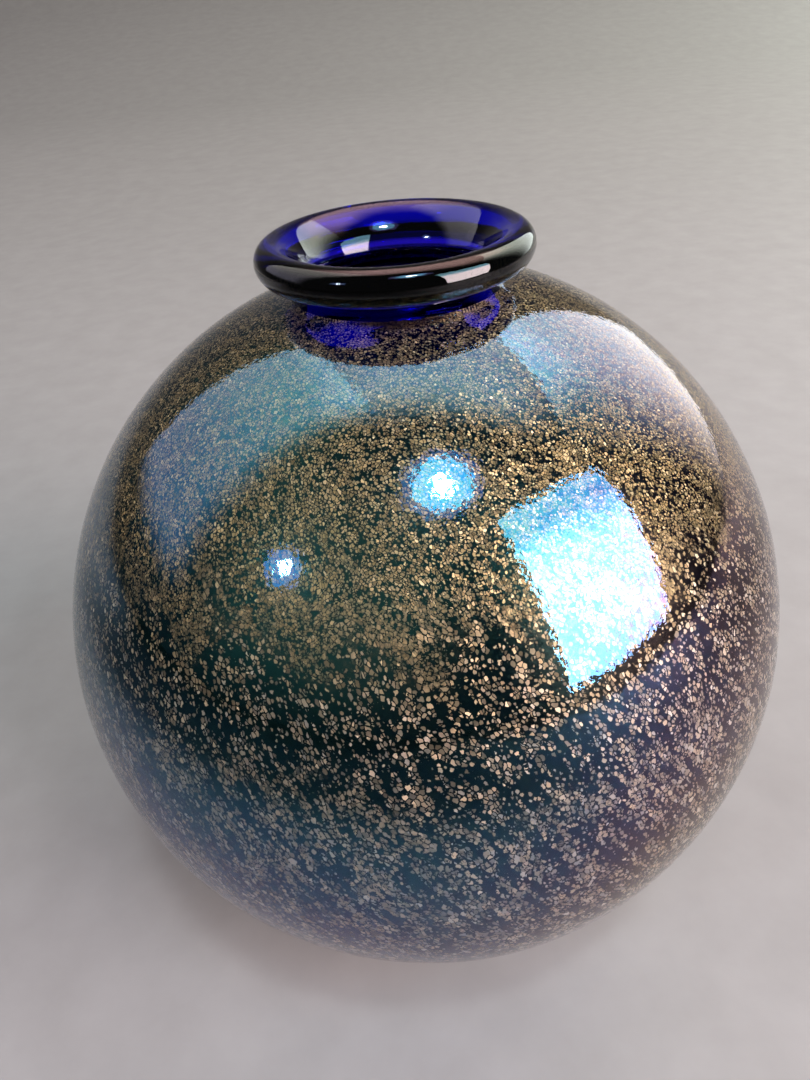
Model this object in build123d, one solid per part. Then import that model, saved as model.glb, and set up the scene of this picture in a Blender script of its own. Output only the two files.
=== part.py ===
from build123d import *
import math
import os

# Globe vase in layered blown glass. Millimetres, +Z up, origin at the centre of
# the base, on the plane that it stands on. Every layer is a body of revolution
# about Z, and neighbouring layers meet face to face, as fused glass does.
#
# Layers of the wall, from the outside in:
#   clear_casing    outer gather of clear glass, ground flat underneath
#   leaf_sheet_*    metal leaf, laid on in four sheets that meet at seams
#   cobalt_bubble   inner bubble of dark blue glass, open at the neck
# Above them:
#   mouth_collar    cobalt collar: the short neck and the flared mouth
#   lip_bead        rolled bead round the rim

# ---- driving dimensions -------------------------------------------------
BODY_R = 65.0            # outer radius of the globe
CENTRE_Z = 60.0          # height of the globe's centre; the base is flattened
CASING_T = 1.6           # clear glass over the leaf
LEAF_T = 0.3             # leaf, thickened from foil so that it is a sound solid
BUBBLE_T = 3.0           # cobalt glass under the leaf

BASE_EDGE_R = 3.0        # rounding where the ground base meets the globe
BASE_T = 2.5             # clear glass under the bubble
PONTIL_R = 11.0          # polished hollow where the iron was broken off
PONTIL_DEPTH = 1.0
BUBBLE_EDGE_R = 4.0      # rounding round the flattened foot of the bubble
FLOOR_Z = 8.0            # inside floor
FLOOR_EDGE_R = 9.0       # rounding between the floor and the inner wall

LEAF_LOW_DEG = -61.0     # latitude where the leaf stops above the base
SEAM_AZ_DEG = 32.0       # azimuth of the first seam, from -Y towards +X
SHEETS = ("front", "right", "back", "left")

SEAM_Z = 121.2           # height where the collar sits on the bubble
BORE_R = 12.5            # inner radius at that seam
THROAT_R = 12.35         # narrowest inner radius
THROAT_Z = 124.0
INNER_BLEND_R = 18.0     # radius where the inner wall leaves the globe
SHOULDER_R = 19.5        # radius where the shoulder starts to rise to the neck
CASING_TOP_Z = 123.15    # top edge of the casing, against the collar
WAIST_R = 15.3           # outer radius of the neck
WAIST_Z = 124.8

BEAD_R = 18.6            # radius of the bead's centre line
BEAD_Z = 128.5           # height of the bead's centre line
BEAD_T = 2.7             # radius of the bead's section
BEAD_IN_DEG = 125.0      # where the flared mouth runs into the bead
# -------------------------------------------------------------------------

CASING_IN_R = BODY_R - CASING_T          # leaf's outer face
LEAF_IN_R = CASING_IN_R - LEAF_T         # bubble's outer face under the leaf
HOLLOW_R = LEAF_IN_R - BUBBLE_T          # inside of the bubble


def at(r, z):
    return Vector(r, 0, z)


def line(a, b):
    return Edge.make_line(a, b)


def arc(r, z, radius, start, end):
    """Counter-clockwise arc in the XZ plane, from start to end in degrees."""
    plane = Plane(origin=(r, 0, z), x_dir=(1, 0, 0), z_dir=(0, -1, 0))
    return Edge.make_circle(radius, plane, start, end)


def on_circle(r, z, radius, degrees):
    t = math.radians(degrees)
    return at(r + radius * math.cos(t), z + radius * math.sin(t))


def globe_point(radius, r):
    """Point of the upper half of a sphere about the globe's centre."""
    return at(r, CENTRE_Z + math.sqrt(radius**2 - r**2))


def latitude(radius, point):
    return math.degrees(math.asin((point.Z - CENTRE_Z) / radius))


def foot(radius, floor, edge):
    """Flat foot of a sphere with a rounded edge: the rounding's centre, where it
    leaves the flat, and where it joins the sphere."""
    z = floor + edge
    r = math.sqrt((radius - edge) ** 2 - (CENTRE_Z - z) ** 2)
    k = radius / (radius - edge)
    return at(r, z), at(r, floor), at(r * k, CENTRE_Z - (CENTRE_Z - z) * k)


def foot_edges(radius, floor, edge):
    centre, flat, joined = foot(radius, floor, edge)
    turn = math.degrees(math.atan2(joined.Z - centre.Z, joined.X - centre.X))
    return arc(centre.X, centre.Z, edge, -90, turn), flat, joined


def spin(edges, sweep=360):
    face = Face(Wire(edges))
    return revolve(face, Axis.Z, sweep)


# Circle where casing, leaf, bubble and collar come together
seam_r = math.sqrt(CASING_IN_R**2 - (SEAM_Z - CENTRE_Z) ** 2)
seam = at(seam_r, SEAM_Z)
seam_leaf = at(math.sqrt(LEAF_IN_R**2 - (SEAM_Z - CENTRE_Z) ** 2), SEAM_Z)
casing_top = at(seam_r, CASING_TOP_Z)
rise = Vector(-0.84, 0, 0.545)           # slope of the shoulder at the casing's top

# ---- clear casing -------------------------------------------------------
shoulder = globe_point(BODY_R, SHOULDER_R)
shoulder_slope = Vector(
    -(shoulder.Z - CENTRE_Z) / BODY_R, 0, SHOULDER_R / BODY_R
)
base_edge, base_flat, base_join = foot_edges(BODY_R, 0.0, BASE_EDGE_R)
bed_edge, bed_flat, bed_join = foot_edges(CASING_IN_R, BASE_T, BUBBLE_EDGE_R)
pontil_r = (PONTIL_R**2 + PONTIL_DEPTH**2) / (2 * PONTIL_DEPTH)
pontil_z = PONTIL_DEPTH - pontil_r
clear_casing = spin([
    line(at(PONTIL_R, 0), base_flat),
    base_edge,
    arc(0, CENTRE_Z, BODY_R, latitude(BODY_R, base_join), latitude(BODY_R, shoulder)),
    Edge.make_spline([shoulder, casing_top], [shoulder_slope, rise]),
    line(casing_top, seam),
    arc(0, CENTRE_Z, CASING_IN_R, latitude(CASING_IN_R, bed_join), latitude(CASING_IN_R, seam)),
    bed_edge,
    line(bed_flat, at(0, BASE_T)),
    line(at(0, BASE_T), at(0, PONTIL_DEPTH)),
    arc(0, pontil_z, pontil_r, math.degrees(math.acos(PONTIL_R / pontil_r)), 90),
])

# ---- leaf sheets --------------------------------------------------------
low_out = on_circle(0, CENTRE_Z, CASING_IN_R, LEAF_LOW_DEG)
low_in = on_circle(0, CENTRE_Z, LEAF_IN_R, LEAF_LOW_DEG)
leaf_section = [
    line(low_in, low_out),
    arc(0, CENTRE_Z, CASING_IN_R, LEAF_LOW_DEG, latitude(CASING_IN_R, seam)),
    line(seam, seam_leaf),
    arc(0, CENTRE_Z, LEAF_IN_R, LEAF_LOW_DEG, latitude(LEAF_IN_R, seam_leaf)),
]
sweep = 360.0 / len(SHEETS)
# the section lies along +X, which is 90 degrees past the -Y azimuth
sheet = spin(leaf_section, sweep)
leaf = {}
for i, name in enumerate(SHEETS):
    start = SEAM_AZ_DEG - sweep + i * sweep - 90
    leaf["leaf_sheet_" + name] = Rot(0, 0, start) * sheet

# ---- cobalt bubble ------------------------------------------------------
inner_top = globe_point(HOLLOW_R, INNER_BLEND_R)
inner_slope = Vector(
    (inner_top.Z - CENTRE_Z) / HOLLOW_R, 0, -INNER_BLEND_R / HOLLOW_R
)
floor_edge, floor_flat, floor_join = foot_edges(HOLLOW_R, FLOOR_Z, FLOOR_EDGE_R)
bore = at(BORE_R, SEAM_Z)
cobalt_bubble = spin([
    line(at(0, BASE_T), bed_flat),
    foot_edges(CASING_IN_R, BASE_T, BUBBLE_EDGE_R)[0],
    arc(0, CENTRE_Z, CASING_IN_R, latitude(CASING_IN_R, bed_join), LEAF_LOW_DEG),
    line(low_out, low_in),
    arc(0, CENTRE_Z, LEAF_IN_R, LEAF_LOW_DEG, latitude(LEAF_IN_R, seam_leaf)),
    line(seam_leaf, bore),
    Edge.make_spline([bore, inner_top], [Vector(0, 0, -1), inner_slope]),
    arc(0, CENTRE_Z, HOLLOW_R, latitude(HOLLOW_R, floor_join), latitude(HOLLOW_R, inner_top)),
    floor_edge,
    line(floor_flat, at(0, FLOOR_Z)),
    line(at(0, FLOOR_Z), at(0, BASE_T)),
])

# ---- mouth collar -------------------------------------------------------
bead_in = on_circle(BEAD_R, BEAD_Z, BEAD_T, BEAD_IN_DEG)
bead_under = on_circle(BEAD_R, BEAD_Z, BEAD_T, -90)
flare = Vector(
    math.sin(math.radians(BEAD_IN_DEG)), 0, -math.cos(math.radians(BEAD_IN_DEG))
)
mouth_collar = spin([
    line(bore, seam_leaf),
    line(seam_leaf, seam),
    line(seam, casing_top),
    Edge.make_spline([casing_top, at(WAIST_R, WAIST_Z)], [rise, Vector(0, 0, 1)]),
    Edge.make_spline(
        [at(WAIST_R, WAIST_Z), bead_under], [Vector(0, 0, 1), Vector(1, 0, 0)]
    ),
    line(bead_under, bead_in),
    Edge.make_spline(
        [bead_in, at(THROAT_R, THROAT_Z), bore],
        [flare * -1, Vector(0, 0, -1), Vector(0, 0, -1)],
    ),
])

# ---- lip bead -----------------------------------------------------------
lip_bead = spin([
    arc(BEAD_R, BEAD_Z, BEAD_T, -90, BEAD_IN_DEG),
    line(bead_in, bead_under),
])

# ---- write --------------------------------------------------------------
os.makedirs("parts", exist_ok=True)
nodes = {
    "clear_casing": clear_casing,
    "cobalt_bubble": cobalt_bubble,
    "mouth_collar": mouth_collar,
    "lip_bead": lip_bead,
    **leaf,
}
for name, shape in nodes.items():
    export_step(shape, f"parts/{name}.step")
    print(name, round(shape.volume), "mm3", round(shape.volume * 2.5e-3), "g as glass")
print("height", BEAD_Z + BEAD_T, "width", 2 * BODY_R, "rim", 2 * (BEAD_R + BEAD_T))
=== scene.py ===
import math

import bmesh
import bpy
from mathutils import Matrix, Vector, noise


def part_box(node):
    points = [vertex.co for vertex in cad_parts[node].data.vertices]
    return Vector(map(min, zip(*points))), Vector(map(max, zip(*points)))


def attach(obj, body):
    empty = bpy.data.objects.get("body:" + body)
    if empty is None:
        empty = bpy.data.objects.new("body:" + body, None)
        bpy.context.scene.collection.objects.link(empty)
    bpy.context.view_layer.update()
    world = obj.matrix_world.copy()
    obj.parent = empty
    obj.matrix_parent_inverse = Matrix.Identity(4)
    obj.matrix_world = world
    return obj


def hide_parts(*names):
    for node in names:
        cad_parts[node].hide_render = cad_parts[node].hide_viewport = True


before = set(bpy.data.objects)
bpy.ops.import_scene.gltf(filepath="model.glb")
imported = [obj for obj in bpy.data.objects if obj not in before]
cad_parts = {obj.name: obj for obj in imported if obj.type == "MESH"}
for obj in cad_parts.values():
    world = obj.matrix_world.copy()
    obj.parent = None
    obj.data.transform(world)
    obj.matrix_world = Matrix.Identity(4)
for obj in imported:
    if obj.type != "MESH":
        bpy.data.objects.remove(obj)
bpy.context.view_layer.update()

MM = 0.001

# ---------------------------------------------------------------- sizes (mm)
# The same driving sizes as the CAD model; the globe's radius is read from the clear casing in model.glb, so a change
# there carries over.
low, high = (Vector(v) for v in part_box("clear_casing"))
BODY_R = (high.x - low.x) / 2 / MM
BODY_R = 65.0 if abs(BODY_R - 65.0) < 0.3 else BODY_R
CENTRE_Z = 60.0
CASING_IN_R = BODY_R - 1.6
LEAF_IN_R = CASING_IN_R - 0.3
HOLLOW_R = LEAF_IN_R - 3.0
SEAM_Z = 121.2
BEAD_R, BEAD_Z, BEAD_T = 18.6, 128.5, 2.7
FLOW = 0.62 / BODY_R      # how fast the leaf's streaks wind round the globe


# ---------------------------------------------------------------- curves
def arc(cr, cz, radius, start, end, step=0.8):
    """Points of an arc in the (r, z) plane, from start to end in degrees."""
    n = max(2, int(abs(end - start) * math.pi / 180 * radius / step) + 1)
    out = []
    for i in range(n + 1):
        t = math.radians(start + (end - start) * i / n)
        out.append((cr + radius * math.cos(t), cz + radius * math.sin(t)))
    return out


def hermite(p, q, tp, tq, n=12, pull=1.0):
    d = math.hypot(q[0] - p[0], q[1] - p[1]) * pull
    out = []
    for i in range(n + 1):
        t = i / n
        a = 2 * t**3 - 3 * t**2 + 1
        b = t**3 - 2 * t**2 + t
        c = -2 * t**3 + 3 * t**2
        e = t**3 - t**2
        out.append(tuple(a * p[k] + b * tp[k] * d + c * q[k] + e * tq[k] * d for k in (0, 1)))
    return out


def segment(p, q, n=1):
    return [(p[0] + (q[0] - p[0]) * i / n, p[1] + (q[1] - p[1]) * i / n) for i in range(n + 1)]


def chain(*runs):
    out = []
    for run in runs:
        for p in run:
            if not out or math.hypot(p[0] - out[-1][0], p[1] - out[-1][1]) > 1e-6:
                out.append(p)
    return out


def foot(radius, floor, edge):
    z = floor + edge
    r = math.sqrt((radius - edge) ** 2 - (CENTRE_Z - z) ** 2)
    k = radius / (radius - edge)
    joined = (r * k, CENTRE_Z - (CENTRE_Z - z) * k)
    turn = math.degrees(math.atan2(joined[1] - z, joined[0] - r))
    return (r, z), (r, floor), joined, turn


def latitude(radius, z):
    return math.degrees(math.asin((z - CENTRE_Z) / radius))


# ---------------------------------------------------------------- meshes
def lathe(name, loop, segments, closed=True, start=0.0, sweep=360.0, shift=None, sharp=40):
    """Turns a loop of (r, z) points in mm about Z. Points on the axis become
    one pole. shift moves each finished point, for hand-made unevenness."""
    full = abs(sweep - 360) < 1e-6
    count = segments if full else segments + 1
    mesh = bpy.data.meshes.new(name)
    bm = bmesh.new()
    rings = []
    for r, z in loop:
        if r < 1e-6:
            v = bm.verts.new((0, 0, z * MM))
            rings.append([v] * count)
            continue
        ring = []
        for i in range(count):
            a = math.radians(start + sweep * i / segments)
            ring.append(bm.verts.new((r * math.cos(a) * MM, r * math.sin(a) * MM, z * MM)))
        rings.append(ring)
    n = len(rings)
    for k in range(n if closed else n - 1):
        a, b = rings[k], rings[(k + 1) % n]
        for i in range(segments):
            j = (i + 1) % count if full else i + 1
            quad = []
            for v in (a[i], b[i], b[j], a[j]):
                if v not in quad:
                    quad.append(v)
            if len(quad) > 2:
                bm.faces.new(quad)
    if not full:
        for i in (0, count - 1):
            cap = []
            for ring in rings:
                if ring[i] not in cap:
                    cap.append(ring[i])
            bm.faces.new(cap)
    bmesh.ops.recalc_face_normals(bm, faces=bm.faces)
    if shift is not None:
        for v in bm.verts:
            v.co = shift(v.co)
    bm.to_mesh(mesh)
    bm.free()
    mesh.polygons.foreach_set("use_smooth", [True] * len(mesh.polygons))
    mesh.set_sharp_from_angle(angle=math.radians(sharp))
    mesh.update()
    ob = bpy.data.objects.new(name, mesh)
    bpy.context.scene.collection.objects.link(ob)
    return ob


def waver(co):
    """Blown glass is never a true sphere: a slow unevenness of a tenth of a
    millimetre or so, always inwards, fading out at the base and the neck."""
    p = Vector((co.x, co.y, co.z - CENTRE_Z * MM)) / (BODY_R * MM)
    far = p.length
    if far < 0.9:
        return co
    h = co.z / MM
    fade = min(1.0, max(0.0, (h - 2.0) / 10.0)) * min(1.0, max(0.0, (119.5 - h) / 8.0))
    w = noise.noise(p * 1.7 + Vector((3.1, 0.4, 7.7))) + 0.45 * noise.noise(p * 4.3 + Vector((1.0, 5.0, 2.0)))
    depth = (0.16 + 0.16 * w) * fade
    direction = p.normalized()
    return co - direction * (max(0.0, depth) * MM)


# ---------------------------------------------------------------- nodes
def new_material(name):
    mat = bpy.data.materials.new(name)
    mat.use_nodes = True
    nt = mat.node_tree
    nt.nodes.clear()
    out = nt.nodes.new("ShaderNodeOutputMaterial")
    p = nt.nodes.new("ShaderNodeBsdfPrincipled")
    nt.links.new(p.outputs[0], out.inputs["Surface"])
    return mat, nt, p, out


class Tree:
    """Short hand for building a node tree."""

    def __init__(self, nt):
        self.nt = nt

    def put(self, socket, value):
        if isinstance(value, bpy.types.NodeSocket):
            self.nt.links.new(value, socket)
        else:
            socket.default_value = value

    def math(self, op, a, b=0.0, c=0.0, clamp=False):
        n = self.nt.nodes.new("ShaderNodeMath")
        n.operation, n.use_clamp = op, clamp
        for i, v in enumerate((a, b, c)):
            self.put(n.inputs[i], v)
        return n.outputs[0]

    def vector(self, op, a, b=None, scale=None):
        n = self.nt.nodes.new("ShaderNodeVectorMath")
        n.operation = op
        self.put(n.inputs[0], a)
        if b is not None:
            self.put(n.inputs[1], b)
        if scale is not None:
            self.put(n.inputs["Scale"], scale)
        return n.outputs["Value"] if op in ("LENGTH", "DOT_PRODUCT", "DISTANCE") else n.outputs["Vector"]

    def position(self):
        return self.nt.nodes.new("ShaderNodeTexCoord").outputs["Object"]

    def split(self, v):
        n = self.nt.nodes.new("ShaderNodeSeparateXYZ")
        self.put(n.inputs[0], v)
        return n.outputs

    def noise(self, v, scale, detail=2.0, rough=0.5, kind="Fac", distortion=0.0):
        n = self.nt.nodes.new("ShaderNodeTexNoise")
        self.put(n.inputs["Vector"], v)
        n.inputs["Scale"].default_value = scale
        n.inputs["Detail"].default_value = detail
        n.inputs["Roughness"].default_value = rough
        n.inputs["Distortion"].default_value = distortion
        return n.outputs[kind]

    def voronoi(self, v, scale, feature="F1", randomness=1.0):
        n = self.nt.nodes.new("ShaderNodeTexVoronoi")
        n.feature = feature
        self.put(n.inputs["Vector"], v)
        n.inputs["Scale"].default_value = scale
        n.inputs["Randomness"].default_value = randomness
        return n.outputs

    def ramp(self, v, low, high, out_low=0.0, out_high=1.0, smooth=True):
        n = self.nt.nodes.new("ShaderNodeMapRange")
        n.interpolation_type = "SMOOTHSTEP" if smooth else "LINEAR"
        n.clamp = True
        self.put(n.inputs["Value"], v)
        for key, value in (("From Min", low), ("From Max", high), ("To Min", out_low), ("To Max", out_high)):
            self.put(n.inputs[key], value)
        return n.outputs["Result"]

    def mix(self, fac, a, b, blend="MIX"):
        n = self.nt.nodes.new("ShaderNodeMix")
        n.data_type, n.blend_type = "RGBA", blend
        self.put(n.inputs[0], fac)
        for i, v in ((6, a), (7, b)):
            self.put(n.inputs[i], v if isinstance(v, bpy.types.NodeSocket) else (*v[:3], 1))
        return n.outputs[2]

    def lerp(self, fac, a, b):
        n = self.nt.nodes.new("ShaderNodeMix")
        n.data_type = "FLOAT"
        self.put(n.inputs[0], fac)
        self.put(n.inputs[2], a)
        self.put(n.inputs[3], b)
        return n.outputs[0]

    def colours(self, v, stops):
        n = self.nt.nodes.new("ShaderNodeValToRGB")
        self.put(n.inputs[0], v)
        ramp = n.color_ramp
        while len(ramp.elements) < len(stops):
            ramp.elements.new(0.5)
        for e, (pos, colour) in zip(ramp.elements, stops):
            e.position, e.color = pos, (*colour, 1)
        return n.outputs[0]

    def bump(self, height, strength, distance, normal=None):
        n = self.nt.nodes.new("ShaderNodeBump")
        n.inputs["Strength"].default_value = strength
        n.inputs["Distance"].default_value = distance
        self.put(n.inputs["Height"], height)
        if normal is not None:
            self.put(n.inputs["Normal"], normal)
        return n.outputs[0]


def wound(t):
    """Object position in metres, as grain, for flakes, and as flow, for the
    streaks that they lie in: wound round the axis and squeezed along it, so
    that a pattern in it slants round the globe. A slow wander keeps the
    streaks from being ruled lines."""
    pos = t.position()
    x, y, z = t.split(pos)
    up = t.math("SUBTRACT", z, CENTRE_Z * MM)
    warp = t.vector("SUBTRACT", t.noise(pos, 55, 2.0, 0.5, "Color"), (0.5, 0.5, 0.5))
    moved = t.vector("ADD", pos, t.vector("SCALE", warp, scale=0.0045))

    def turned(v, share):
        n = t.nt.nodes.new("ShaderNodeVectorRotate")
        n.rotation_type = "AXIS_ANGLE"
        t.put(n.inputs["Vector"], v)
        n.inputs["Center"].default_value = (0, 0, 0)
        n.inputs["Axis"].default_value = (0, 0, 1)
        t.put(n.inputs["Angle"], t.math("MULTIPLY", up, share * FLOW / MM))
        return n.outputs[0]

    fray = t.vector("SUBTRACT", t.noise(pos, 2300, 1.0, 0.5, "Color"), (0.5, 0.5, 0.5))
    frayed = t.vector("ADD", moved, t.vector("SCALE", fray, scale=0.00042))
    grain = t.vector("MULTIPLY", turned(frayed, 0.42), (1.0, 1.0, 0.72))
    flow = t.vector("MULTIPLY", turned(moved, 1.0), (1.0, 1.0, 0.26))
    return grain, flow, pos, x, up


def leaf_material(seed):
    """Leaf crackled into flakes over near-black glass: loose rounded flakes low
    down, some in crazed clusters, in slanting strings with dark gaps between,
    and close, fine and more golden towards the neck."""
    mat, nt, p, out = new_material(f"leaf_{seed}")
    t = Tree(nt)
    grain, flow, pos, x, up = wound(t)
    lat = t.math("DIVIDE", up, BODY_R * MM)
    patch = t.math("SUBTRACT", t.noise(flow, 90, 3.0, 0.6), 0.5)
    string = t.math("SUBTRACT", t.noise(flow, 620, 1.5, 0.5), 0.5)
    height = t.math("ADD", lat, t.math("MULTIPLY", patch, 0.45))
    swell = t.math("ADD", t.math("MULTIPLY", string, 0.95), t.math("MULTIPLY", patch, 0.14))

    def flakes(scale, gap, radius, strings):
        near = t.voronoi(grain, scale, "F1")
        edge = t.voronoi(grain, scale, "DISTANCE_TO_EDGE")["Distance"]
        cell = t.split(near["Color"])
        reach = t.math("ADD", t.math("MULTIPLY_ADD", cell[2], 0.26, radius - 0.13), t.math("MULTIPLY", swell, strings))
        dot = t.ramp(t.math("SUBTRACT", near["Distance"], reach), 0.03, -0.16)
        return t.math("MULTIPLY", dot, t.ramp(edge, gap * 0.4, gap)), near["Color"], cell

    coarse, colour_a, cell_a = flakes(1220, 0.17, 0.52, 1.8)
    middle, colour_b, cell_b = flakes(1600, 0.15, 0.50, 1.6)
    fine, colour_c, cell_c = flakes(2400, 0.14, 0.63, 1.1)
    craze = t.ramp(t.voronoi(grain, 3000, "DISTANCE_TO_EDGE")["Distance"], 0.03, 0.10)
    crazed = t.math("GREATER_THAN", cell_a[1], 0.52)
    coarse = t.math("MULTIPLY", coarse, t.lerp(crazed, 1.0, craze))

    low = t.math("MAXIMUM", coarse, t.math("MULTIPLY", middle, t.ramp(t.math("ADD", swell, cell_b[0]), 0.30, 0.42)))
    to_middle = t.ramp(height, 0.16, 0.30)
    to_fine = t.ramp(height, 0.50, 0.64)
    mask = t.lerp(to_fine, t.lerp(to_middle, low, middle), fine)
    colour = t.mix(to_fine, t.mix(to_middle, colour_a, colour_b), colour_c)
    tone, tint, _ = t.split(colour)

    champagne = t.colours(tint, [(0.0, (0.78, 0.71, 0.61)), (0.35, (0.80, 0.66, 0.48)), (0.7, (0.74, 0.57, 0.38)), (1.0, (0.62, 0.50, 0.40))])
    olive = t.colours(tint, [(0.0, (0.78, 0.59, 0.33)), (0.5, (0.70, 0.50, 0.23)), (1.0, (0.55, 0.41, 0.22))])
    leaf = t.mix(t.ramp(height, 0.30, 0.66), champagne, olive)
    leaf = t.mix(1.0, leaf, t.grey(t.math("MULTIPLY_ADD", tone, 0.55, 0.45)), "MULTIPLY")
    drift = t.math("MULTIPLY", t.math("SUBTRACT", t.noise(pos, 26, 2.0), 0.5), 1.6)
    across = t.math("ADD", t.math("DIVIDE", x, BODY_R * MM), drift)
    # painted light and shade by side: the near-black glass between the flakes is painted lighter on the left, navy
    # below and teal above, and near black on the right
    left = t.mix(t.ramp(t.math("ADD", lat, drift), -0.15, 0.35), (0.008, 0.014, 0.085), (0.008, 0.045, 0.038))
    dark = t.mix(t.ramp(across, -0.30, 0.40), left, (0.012, 0.009, 0.008))
    nt.links.new(t.mix(mask, dark, leaf), p.inputs["Base Color"])
    p.inputs["Metallic"].default_value = 1.0
    nt.links.new(t.lerp(mask, 0.22, t.lerp(tint, 0.48, 0.64)), p.inputs["Roughness"])

    # each flake lies at its own slight tilt
    tilt = t.vector("SCALE", t.vector("SUBTRACT", colour, (0.5, 0.5, 0.5)), scale=t.math("MULTIPLY", mask, 0.45))
    facing = nt.nodes.new("ShaderNodeNewGeometry").outputs["Normal"]
    nt.links.new(t.vector("NORMALIZE", t.vector("ADD", facing, tilt)), p.inputs["Normal"])
    return mat


def _grey(self, v):
    n = self.nt.nodes.new("ShaderNodeCombineColor")
    for i in range(3):
        self.put(n.inputs[i], v)
    return n.outputs[0]


Tree.grey = _grey


def casing_material():
    """Clear glass with a tin fume film. The film is thicker on the left, where
    it shows cyan to blue, and thinner on the right, where it shows lavender to
    gold, and its skin has a fine orange peel at the scale of the flakes."""
    mat, nt, p, out = new_material("iridised_clear_glass")
    t = Tree(nt)
    grain, flow, pos, x, up = wound(t)
    p.inputs["Base Color"].default_value = (1, 1, 1, 1)
    p.inputs["Transmission Weight"].default_value = 1.0
    p.inputs["Roughness"].default_value = 0.03
    p.inputs["IOR"].default_value = 1.5
    p.inputs["Thin Film IOR"].default_value = 1.82
    drift = t.math("MULTIPLY", t.math("SUBTRACT", t.noise(pos, 30, 2.0, 0.5), 0.5), 30.0)
    across = t.ramp(t.math("DIVIDE", x, BODY_R * MM), -0.05, 0.80, 200, 165)
    rise = t.ramp(t.math("DIVIDE", up, BODY_R * MM), -0.35, 0.30, -22, 0)
    mottle = t.math("MULTIPLY", t.math("SUBTRACT", t.noise(grain, 1100, 2.0, 0.6), 0.5), 55.0)
    film = t.math("ADD", t.math("ADD", across, rise), t.math("ADD", drift, mottle))
    nt.links.new(film, p.inputs["Thin Film Thickness"])
    peel = t.voronoi(grain, 1300, "F1")["Distance"]
    slow = t.noise(grain, 130, 2.0, 0.5)
    height = t.math("ADD", peel, t.math("MULTIPLY", slow, 3.0))
    nt.links.new(t.bump(height, 0.10, 0.0001), p.inputs["Normal"])
    return mat


def cobalt_material(name="cobalt_glass", seed=0.0):
    mat, nt, p, out = new_material(name)
    t = Tree(nt)
    p.inputs["Base Color"].default_value = (1, 1, 1, 1)
    p.inputs["Transmission Weight"].default_value = 1.0
    p.inputs["Roughness"].default_value = 0.02
    p.inputs["IOR"].default_value = 1.52
    wave = t.noise(t.vector("MULTIPLY", t.position(), (1, 1, 2.5)), 150, 2.0, 0.5)
    nt.links.new(t.bump(wave, 0.12, 0.0004), p.inputs["Normal"])
    depth = nt.nodes.new("ShaderNodeVolumeAbsorption")
    depth.inputs["Color"].default_value = (0.22, 0.03, 0.955, 1)
    depth.inputs["Density"].default_value = 1800
    nt.links.new(depth.outputs[0], out.inputs["Volume"])
    return mat


def bubble_material():
    mat, nt, p, out = new_material("dark_cobalt_glass")
    t = Tree(nt)
    drift = t.noise(t.position(), 45, 3.0)
    nt.links.new(t.colours(drift, [(0.3, (0.003, 0.003, 0.012)), (0.7, (0.006, 0.006, 0.04))]), p.inputs["Base Color"])
    p.inputs["Roughness"].default_value = 0.06
    p.inputs["IOR"].default_value = 1.52
    nt.links.new(t.bump(t.noise(t.position(), 180, 2.0), 0.08, 0.0004), p.inputs["Normal"])
    return mat


def floor_material():
    """Pale matt floor, with a painted dark reflection: the vase mirrors only the part near it as pale, and further off
    in front the mirrored floor is painted near black, painted shade in what the vase reflects."""
    mat, nt, p, out = new_material("floor")
    t = Tree(nt)
    pos = t.position()
    x, y, z = t.split(pos)
    speck = t.noise(pos, 60, 4.0, 0.6)
    pale = t.colours(speck, [(0.3, (0.300, 0.282, 0.268)), (0.7, (0.336, 0.316, 0.302))])
    # painted dark reflection: where this mask is high, the floor is painted near black in the rays that the vase
    # mirrors
    far = t.vector("LENGTH", t.vector("SUBTRACT", pos, (0.0, 0.05, 0.0)))
    edge = t.math("MULTIPLY", t.ramp(far, 0.13, 0.33), t.ramp(y, 0.22, 0.0))
    edge = t.math("MULTIPLY", edge, t.ramp(x, 0.02, 0.20, 1.0, 0.80))
    mirrored = nt.nodes.new("ShaderNodeLightPath").outputs["Is Glossy Ray"]
    nt.links.new(t.mix(t.math("MULTIPLY", edge, mirrored), pale, (0.03, 0.03, 0.03)), p.inputs["Base Color"])
    p.inputs["Roughness"].default_value = 0.7
    # seen from below it is clear, so it doesn't hide the vase's base
    both = nt.nodes.new("ShaderNodeMixShader")
    nt.links.new(nt.nodes.new("ShaderNodeNewGeometry").outputs["Backfacing"], both.inputs[0])
    nt.links.new(p.outputs[0], both.inputs[1])
    nt.links.new(nt.nodes.new("ShaderNodeBsdfTransparent").outputs[0], both.inputs[2])
    nt.links.new(both.outputs[0], out.inputs["Surface"])
    return mat


# ---------------------------------------------------------------- the vase
def ride(ob, node, mat):
    ob.data.materials.append(mat)
    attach(ob, "root")
    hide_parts(node)
    return ob


seam_r = math.sqrt(CASING_IN_R**2 - (SEAM_Z - CENTRE_Z) ** 2)
shoulder_r = 19.5
shoulder = (shoulder_r, CENTRE_Z + math.sqrt(BODY_R**2 - shoulder_r**2))
slope = (-(shoulder[1] - CENTRE_Z) / BODY_R, shoulder_r / BODY_R)
casing_top = (seam_r, 123.15)
rise = (-0.839, 0.544)

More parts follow.
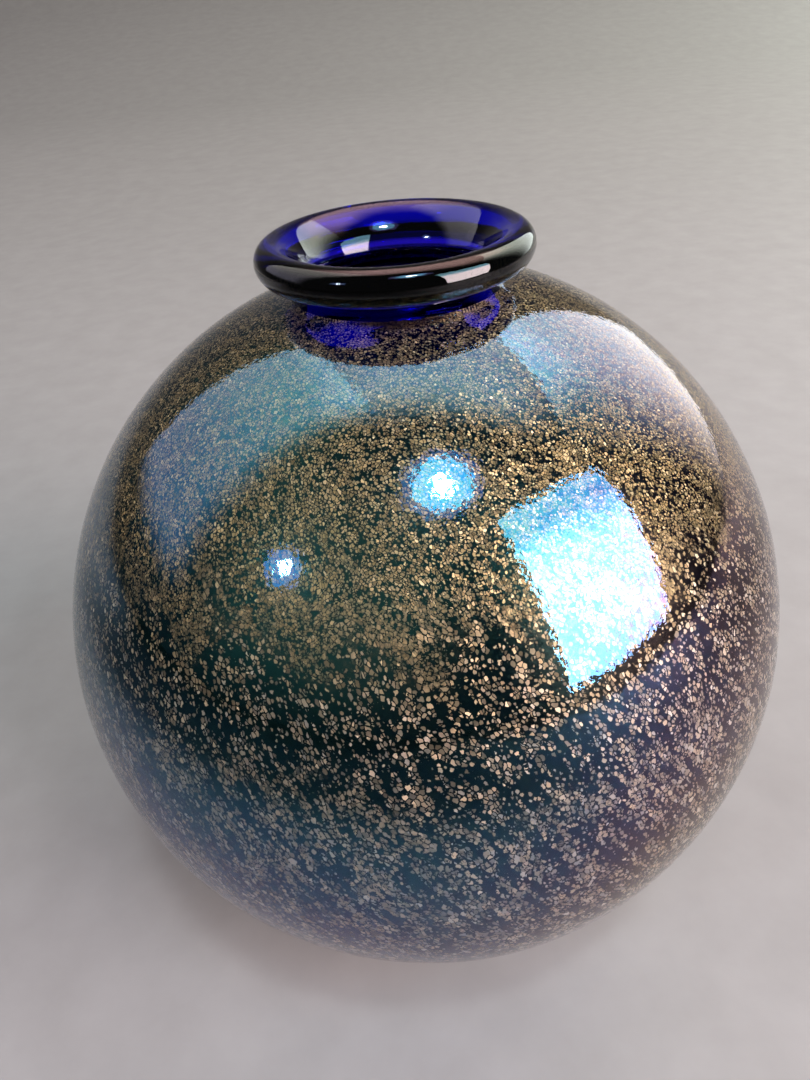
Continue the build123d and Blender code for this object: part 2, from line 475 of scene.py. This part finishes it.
# clear casing: its inner face lies just under the face of the leaf, so the
# leaf is seen in the glass and not across an air gap
UNDER = 0.12
c_edge, c_flat, c_join, c_turn = foot(BODY_R, 0.0, 3.0)
b_edge, b_flat, b_join, b_turn = foot(CASING_IN_R - UNDER, 2.5 + UNDER, 4.0)
pontil = (11.0**2 + 1.0) / 2.0
casing_loop = chain(
    arc(0, 1.0 - pontil, pontil, 90, math.degrees(math.acos(11.0 / pontil))),
    segment((11.0, 0.0), c_flat, 6),
    arc(*c_edge, 3.0, -90, c_turn, 0.2),
    arc(0, CENTRE_Z, BODY_R, latitude(BODY_R, c_join[1]), latitude(BODY_R, shoulder[1])),
    hermite(shoulder, casing_top, slope, rise, 10),
    segment(casing_top, (seam_r, SEAM_Z - UNDER), 3),
    arc(0, CENTRE_Z, CASING_IN_R - UNDER, latitude(CASING_IN_R - UNDER, SEAM_Z - UNDER), latitude(CASING_IN_R - UNDER, b_join[1])),
    arc(*b_edge, 4.0, b_turn, -90, 0.3),
    segment(b_flat, (0.0, 2.5 + UNDER), 10),
)
casing_loop[0] = (0.0, casing_loop[0][1])
casing = lathe("clear_casing_glass", casing_loop, 216, shift=waver)
ride(casing, "clear_casing", casing_material())

# leaf sheets
LOW = -61.0
leaf_loop = chain(
    arc(0, CENTRE_Z, CASING_IN_R, LOW, latitude(CASING_IN_R, SEAM_Z)),
    arc(0, CENTRE_Z, LEAF_IN_R, latitude(LEAF_IN_R, SEAM_Z), LOW),
)
for i, name in enumerate(("front", "right", "back", "left")):
    start = 32.0 - 90.0 + i * 90.0 - 90.0
    sheet = lathe(f"leaf_{name}", leaf_loop, 72, start=start, sweep=90.0)
    ride(sheet, f"leaf_sheet_{name}", leaf_material(i + 1))

# bubble
f_edge, f_flat, f_join, f_turn = foot(HOLLOW_R, 8.0, 9.0)
o_edge, o_flat, o_join, o_turn = foot(CASING_IN_R, 2.5, 4.0)
low_out = (CASING_IN_R * math.cos(math.radians(LOW)), CENTRE_Z + CASING_IN_R * math.sin(math.radians(LOW)))
inner_top = (18.0, CENTRE_Z + math.sqrt(HOLLOW_R**2 - 18.0**2))
inner_slope = ((inner_top[1] - CENTRE_Z) / HOLLOW_R, -18.0 / HOLLOW_R)
bubble_loop = chain(
    segment((0.0, 2.5), o_flat, 10),
    arc(*o_edge, 4.0, -90, o_turn, 0.3),
    arc(0, CENTRE_Z, CASING_IN_R, latitude(CASING_IN_R, o_join[1]), LOW),
    arc(0, CENTRE_Z, LEAF_IN_R, LOW, latitude(LEAF_IN_R, SEAM_Z)),
    segment((seam_r, SEAM_Z), (12.5, SEAM_Z), 4)[1:],
    hermite((12.5, SEAM_Z), inner_top, (0, -1), inner_slope, 14),
    arc(0, CENTRE_Z, HOLLOW_R, latitude(HOLLOW_R, inner_top[1]), latitude(HOLLOW_R, f_join[1])),
    arc(*f_edge, 9.0, f_turn, -90, 0.8),
    segment(f_flat, (0.0, 8.0), 10),
)
bubble = lathe("cobalt_bubble_glass", bubble_loop, 192)
ride(bubble, "cobalt_bubble", bubble_material())

# collar and bead: one run of glass, so the visible piece is one closed shell
bead_in = (BEAD_R + BEAD_T * math.cos(math.radians(125)), BEAD_Z + BEAD_T * math.sin(math.radians(125)))
flare = (math.sin(math.radians(125)), -math.cos(math.radians(125)))
lip_out = chain(
    segment((12.5, SEAM_Z), (seam_r, SEAM_Z), 4),
    segment((seam_r, SEAM_Z), casing_top, 3),
    hermite(casing_top, (15.3, 124.8), rise, (0, 1), 10),
    hermite((15.3, 124.8), (BEAD_R, BEAD_Z - BEAD_T), (0, 1), (1, 0), 16),
)
lip_round = arc(BEAD_R, BEAD_Z, BEAD_T, -90, 125, 0.25)
lip_in = chain(
    hermite(bead_in, (12.35, 124.0), (-flare[0], -flare[1]), (0, -1), 24),
    hermite((12.35, 124.0), (12.5, SEAM_Z), (0, -1), (0, -1), 6),
)
lip = lathe("lip_and_collar", chain(lip_out, lip_round, lip_in)[:-1], 192)
ride(lip, "mouth_collar", cobalt_material())
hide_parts("lip_bead")

# ---------------------------------------------------------------- stage
bm = bmesh.new()
W = 6.0
sweep = [(-3.0, 0.0), (0.6, 0.0), (1.2, 0.02), (1.8, 0.14), (2.3, 0.45), (2.6, 0.9), (2.75, 1.6), (2.8, 3.2)]
rows = []
for y, z in sweep:
    rows.append([bm.verts.new((x, y, z)) for x in (-W, -2, 0, 2, W)])
for a, b in zip(rows, rows[1:]):
    for i in range(4):
        bm.faces.new((a[i], a[i + 1], b[i + 1], b[i]))
mesh = bpy.data.meshes.new("floor")
bm.to_mesh(mesh)
bm.free()
mesh.polygons.foreach_set("use_smooth", [True] * len(mesh.polygons))
floor = bpy.data.objects.new("floor", mesh)
bpy.context.scene.collection.objects.link(floor)
mesh.materials.append(floor_material())

# ---------------------------------------------------------------- light
world = bpy.data.worlds.new("studio")
bpy.context.scene.world = world
world.use_nodes = True
wt = Tree(world.node_tree)
sky = world.node_tree.nodes["Background"]
sky.inputs["Color"].default_value = (0.92, 0.96, 1.0, 1)
seen = world.node_tree.nodes.new("ShaderNodeLightPath").outputs["Is Camera Ray"]
wt.put(sky.inputs["Strength"], wt.lerp(seen, 0.045, 0.55))


def area(name, size, radiance, colour, shape):
    """radiance is what the light looks like, so it doesn't change with its size."""
    data = bpy.data.lights.new(name, "AREA")
    data.shape = shape
    data.size, data.size_y = size
    spread = size[0] * size[1] * (math.pi / 4 if shape in ("DISK", "ELLIPSE") else 1)
    data.energy = radiance * spread * math.pi
    data.color = colour
    ob = bpy.data.objects.new(name, data)
    bpy.context.scene.collection.objects.link(ob)
    ob.visible_camera = False
    return ob


def lamp(name, direction, far, size, radiance, colour=(1, 1, 1), roll=0.0, shape="DISK"):
    """Light at a distance along a direction from the vase, facing it."""
    ob = area(name, size, radiance, colour, shape)
    d = Vector(direction).normalized()
    q = d.to_track_quat("Z", "Y")
    turn = q.to_matrix() @ Matrix.Rotation(math.radians(roll), 3, "Z")
    ob.matrix_world = Matrix.Translation(Vector((0, 0, CENTRE_Z * MM)) + d * far) @ turn.to_4x4()
    return ob


def panel(name, centre, x, y, z, size, radiance, shade):
    """Rectangular light with its own axes. shade(t, u, v) gives its colour and
    strength over its width and height, each from 0 to 1."""
    ob = area(name, size, radiance, (1, 1, 1), "RECTANGLE")
    turn = Matrix((x, y, z)).transposed()
    ob.matrix_world = Matrix.Translation(Vector(centre) + Vector((0, 0, CENTRE_Z * MM))) @ turn.to_4x4()
    ob.data.use_nodes = True
    nt = ob.data.node_tree
    t = Tree(nt)
    emission = next(n for n in nt.nodes if n.type == "EMISSION")
    u, v, _ = t.split(nt.nodes.new("ShaderNodeNewGeometry").outputs["Parametric"])
    colour, strength = shade(t, u, v)
    t.put(emission.inputs["Color"], colour)
    t.put(emission.inputs["Strength"], strength)
    return ob


def window_shade(t, u, v):
    top = t.ramp(v, 0.62, 0.86)
    return t.mix(top, (1.0, 0.83, 0.84), (0.40, 0.82, 1.0)), t.lerp(top, 1.0, 0.32)


def left_shade(t, u, v):
    soft = t.ramp(u, 1.0, 0.80)
    low = t.ramp(v, 0.0, 0.14)
    return t.mix(t.ramp(v, 0.15, 0.75), (0.44, 0.42, 0.54), (1.0, 0.95, 0.87)), t.math("MULTIPLY", soft, low)


def right_shade(t, u, v):
    soft = t.ramp(v, 0.0, 0.55)
    return t.mix(t.ramp(u, 0.1, 0.9), (0.94, 1.0, 0.84), (0.90, 0.98, 0.92)), soft


def ceiling_shade(t, u, v):
    across = t.math("MULTIPLY", t.ramp(u, 0.0, 0.35), t.ramp(u, 1.0, 0.65))
    along = t.math("MULTIPLY", t.ramp(v, 0.0, 0.35), t.ramp(v, 1.0, 0.65))
    return t.mix(u, (1.0, 0.62, 0.64), (1.0, 0.62, 0.50)), t.math("MULTIPLY", across, along)


panel("window", (0.9995, -0.515, 0.551), (0.8261, 0.5631, 0.0220), (-0.2901, 0.3914, 0.8733), (0.4831, -0.7278, 0.4867), (0.93, 1.08), 15.5, window_shade)
panel("back_left", (-0.895, 0.555, 0.950), (0.3957, -0.9174, -0.0412), (0.4876, 0.1719, 0.8560), (-0.7782, -0.3588, 0.5154), (1.43, 1.663), 1.6, left_shade)
panel("back_right", (1.056, 0.920, 0.5308), (0.2894, 0.4142, -0.8629), (-0.2475, 0.9033, 0.3505), (0.9246, 0.1121, 0.3640), (1.70, 1.333), 3.3, right_shade)
ceiling = panel("ceiling", (0.20, 0.50, 1.20), (0.9884, -0.0585, -0.1404), (0.0, 0.9231, -0.3846), (0.1521, 0.3801, 0.9123), (1.9, 1.3), 3.5, ceiling_shade)
ceiling.visible_diffuse = False
ceiling.visible_transmission = False
lamp("round", (0.125, -0.329, 0.936), 1.2, (0.12, 0.10), 90.0, (0.90, 0.96, 1.0), shape="ELLIPSE")
lamp("round_glow", (0.125, -0.329, 0.936), 1.21, (0.37, 0.28), 5.0, (0.22, 0.72, 1.0), shape="ELLIPSE")
lamp("round_fringe", (0.125, -0.329, 0.936), 1.22, (0.50, 0.38), 1.2, (0.40, 0.35, 1.0), shape="ELLIPSE")
lamp("small", (-0.62, -0.473, 0.625), 1.4, (0.095, 0.095), 70.0, (0.85, 0.92, 1.0))
lamp("small_glow", (-0.62, -0.473, 0.625), 1.41, (0.26, 0.26), 2.4, (0.30, 0.45, 1.0))

# big soft light from the front and above, for the leaf and the floor; it isn't
# mirrored in the skin of the glass, so the dark of the room stays dark there
fill = lamp("fill", (-0.46, -0.62, 0.64), 1.6, (2.2, 1.8), 0.74, (1.0, 0.96, 0.96), shape="RECTANGLE")
fill.visible_glossy = False

# ---------------------------------------------------------------- camera
cam = bpy.data.cameras.new("camera")
cam.sensor_width = 36.0
cam.sensor_fit = "AUTO"
cam.lens = 811.0 * 36.0 / 1080.0
cam.clip_start, cam.clip_end = 0.005, 50.0
camera = bpy.data.objects.new("camera", cam)
bpy.context.scene.collection.objects.link(camera)
turn = Matrix((
    (0.99654635, 0.08146526, 0.01608647),
    (-0.03387664, 0.57572234, -0.81694318),
    (-0.07581383, 0.81357679, 0.57649377),
))
place = Vector((0, -1.93371445, 1.58611141)) * (BODY_R * MM) + Vector((0, 0, CENTRE_Z * MM))
camera.matrix_world = Matrix.Translation(place) @ turn.to_4x4()
bpy.context.scene.camera = camera

scene = bpy.context.scene
scene.view_settings.view_transform = "Standard"
scene.view_settings.look = "None"
